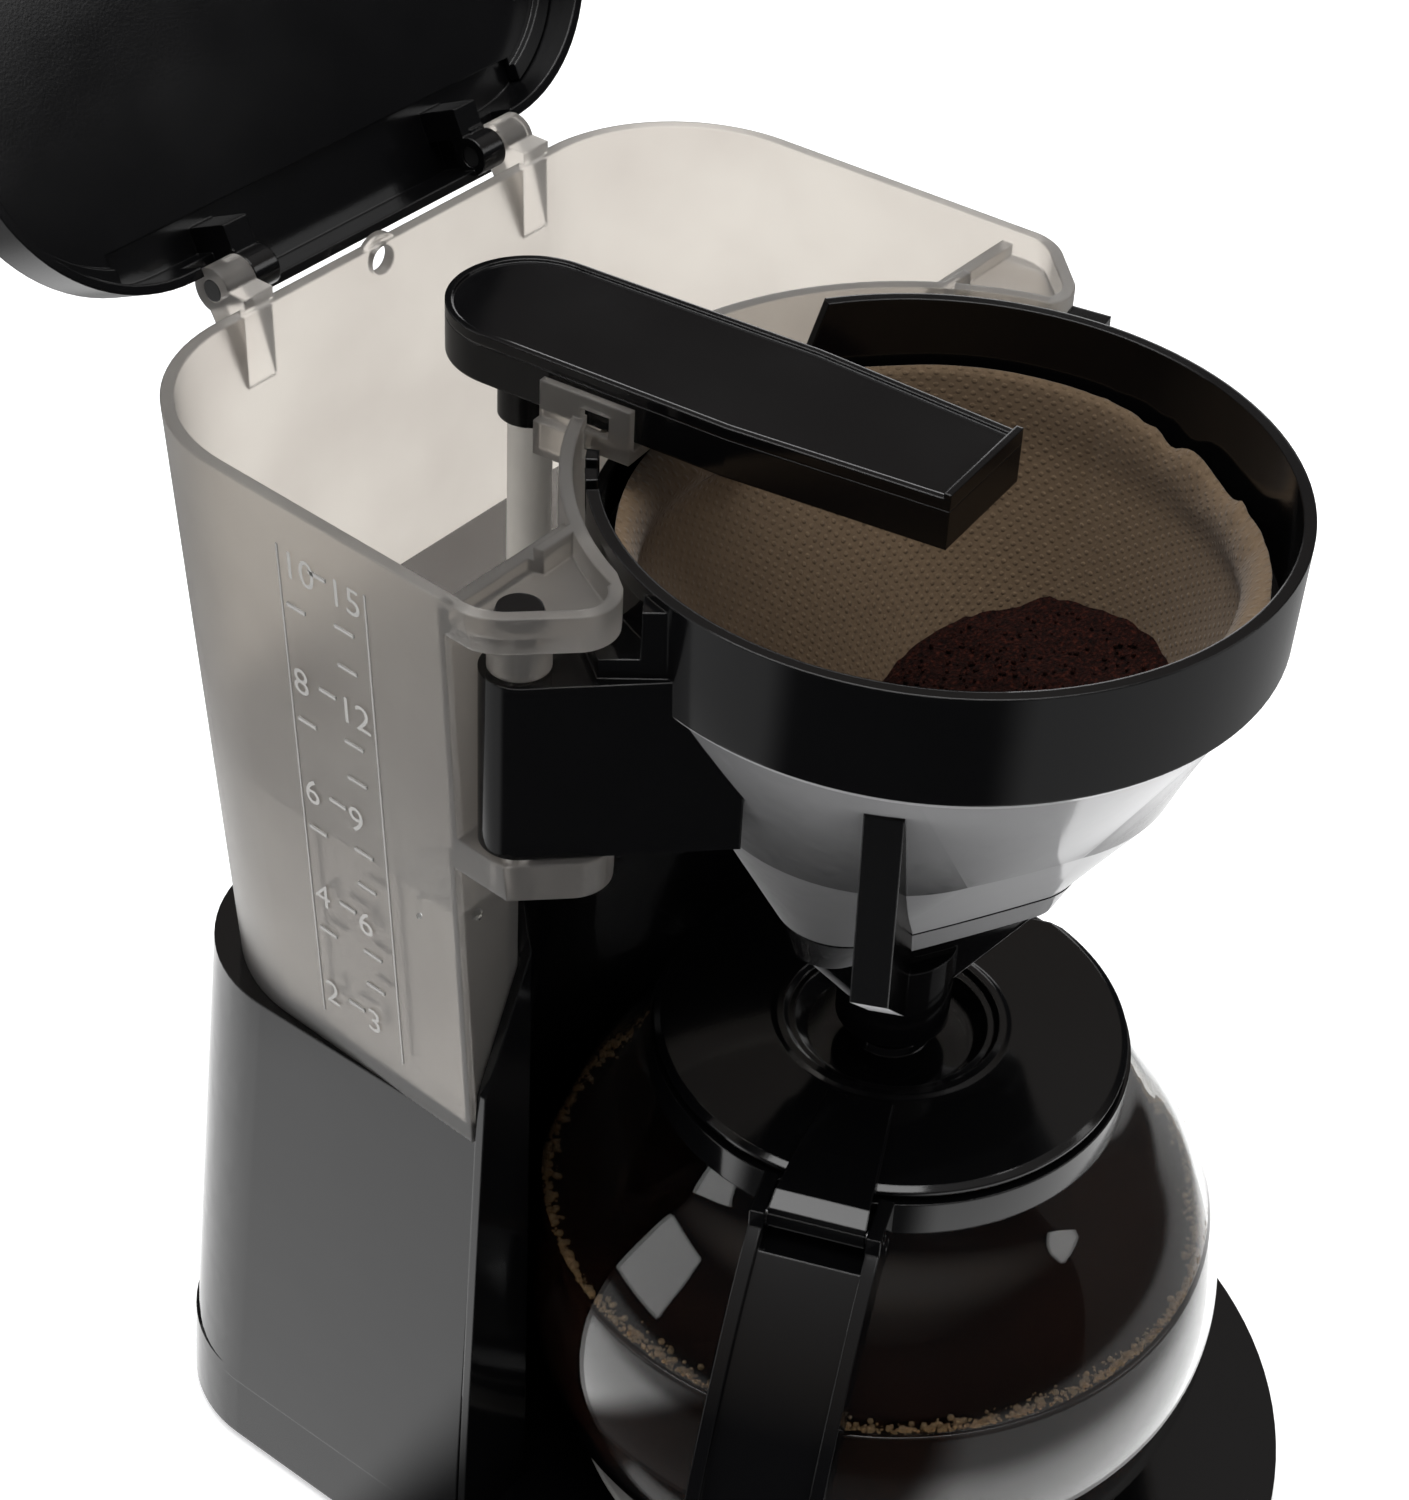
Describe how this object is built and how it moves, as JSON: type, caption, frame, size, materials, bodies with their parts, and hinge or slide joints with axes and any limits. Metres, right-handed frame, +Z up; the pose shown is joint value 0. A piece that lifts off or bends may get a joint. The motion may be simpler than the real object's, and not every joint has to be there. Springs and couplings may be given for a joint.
{
  "type": "drip coffee maker",
  "caption": "Upright drip coffee maker with a hinged lid, rear water tank, swing-out cone filter holder over a glass jug, warming plate and front switch.",
  "frame": {"origin": "middle of the footprint box, on the table, with the tank lid open and the jug on its plate", "axes": "+Z up, -Y towards the front where the jug and switch are, +X to the right seen from the front"},
  "size_m": [0.2272, 0.3798, 0.5134],
  "materials": {
    "black_gloss": "glossy",
    "frosted_tank": "frosted translucent",
    "black_satin": "satin",
    "rubber": "matte",
    "silicone": "satin",
    "steel": "satin",
    "coated_steel": "satin",
    "aluminium": "cast",
    "glass": "polished",
    "paper": "matte",
    "white_plastic": "satin"
  },
  "bodies": {
    "machine": {"body_housing": "black_gloss", "column_front_cover": "black_gloss", "base_bottom_cover": "black_satin", "rubber_feet": "rubber", "base_screws": "steel", "warming_plate": "coated_steel", "plate_seal": "silicone", "heater_casting": "aluminium", "heater_water_tube": "aluminium", "heating_element": "steel", "heater_clamp": "steel", "heater_clamp_screws": "steel", "thermostat": "black_satin", "thermal_fuse": "steel", "cold_hose": "silicone", "hot_hose": "silicone", "hose_clips": "steel", "outlet_spigot": "white_plastic", "riser_spigot": "white_plastic", "outlet_seal": "silicone", "riser_seal": "silicone", "check_valve": "white_plastic", "water_tank": "frosted_tank", "riser_tube": "white_plastic", "spray_arm": "black_gloss", "spray_arm_cover": "black_gloss", "switch_bezel": "black_gloss", "cord_gland": "black_satin", "terminal_block": "white_plastic", "pivot_pin": "black_gloss"},
    "lid": {"lid_shell": "black_gloss", "lid_liner": "black_gloss", "lid_hinge_pins": "black_satin"},
    "filter_holder": {"filter_basket": "black_gloss", "filter_paper": "paper", "valve_seal": "silicone", "valve_cage": "black_satin", "valve_spring": "steel"},
    "valve": {"drip_valve": "black_satin"},
    "switch": {"switch_rocker": "black_gloss"},
    "jug": {"glass_jug": "glass", "jug_band": "black_gloss", "jug_handle": "black_gloss", "band_screw": "steel", "jug_lid_pin": "steel"},
    "jug_lid_body": {"jug_lid": "black_gloss"}
  },
  "joints": [
    {"name": "lid_hinge", "type": "hinge", "parent": "machine", "child": "lid", "pos_m": [0.00359, 0.07889, 0.3004], "axis": [1, 0, 0], "range_deg": [0, 115]},
    {"name": "holder_swing", "type": "hinge", "parent": "machine", "child": "filter_holder", "pos_m": [-0.08291, -0.04061, 0.24], "axis": [0, 0, -1], "range_deg": [0, 95]},
    {"name": "drip_valve_slide", "type": "slide", "parent": "filter_holder", "child": "valve", "axis": [0, 0, 1], "range_m": [0, 0.003], "stiffness_N_per_m": 150, "springref_m": -0.003, "deforming": ["valve_spring"]},
    {"name": "switch_rock", "type": "hinge", "parent": "machine", "child": "switch", "pos_m": [0.00359, -0.18441, 0.0125], "axis": [1, 0, 0], "range_deg": [0, 12]},
    {"name": "jug_slide", "type": "slide", "parent": "machine", "child": "jug", "axis": [0, -1, 0], "range_m": [0, 0.2]},
    {"name": "jug_lid_hinge", "type": "hinge", "parent": "jug", "child": "jug_lid_body", "pos_m": [-0.05575, -0.10308, 0.148], "axis": [0.3746, -0.9272, 0], "range_deg": [0, 1]}
  ]
}
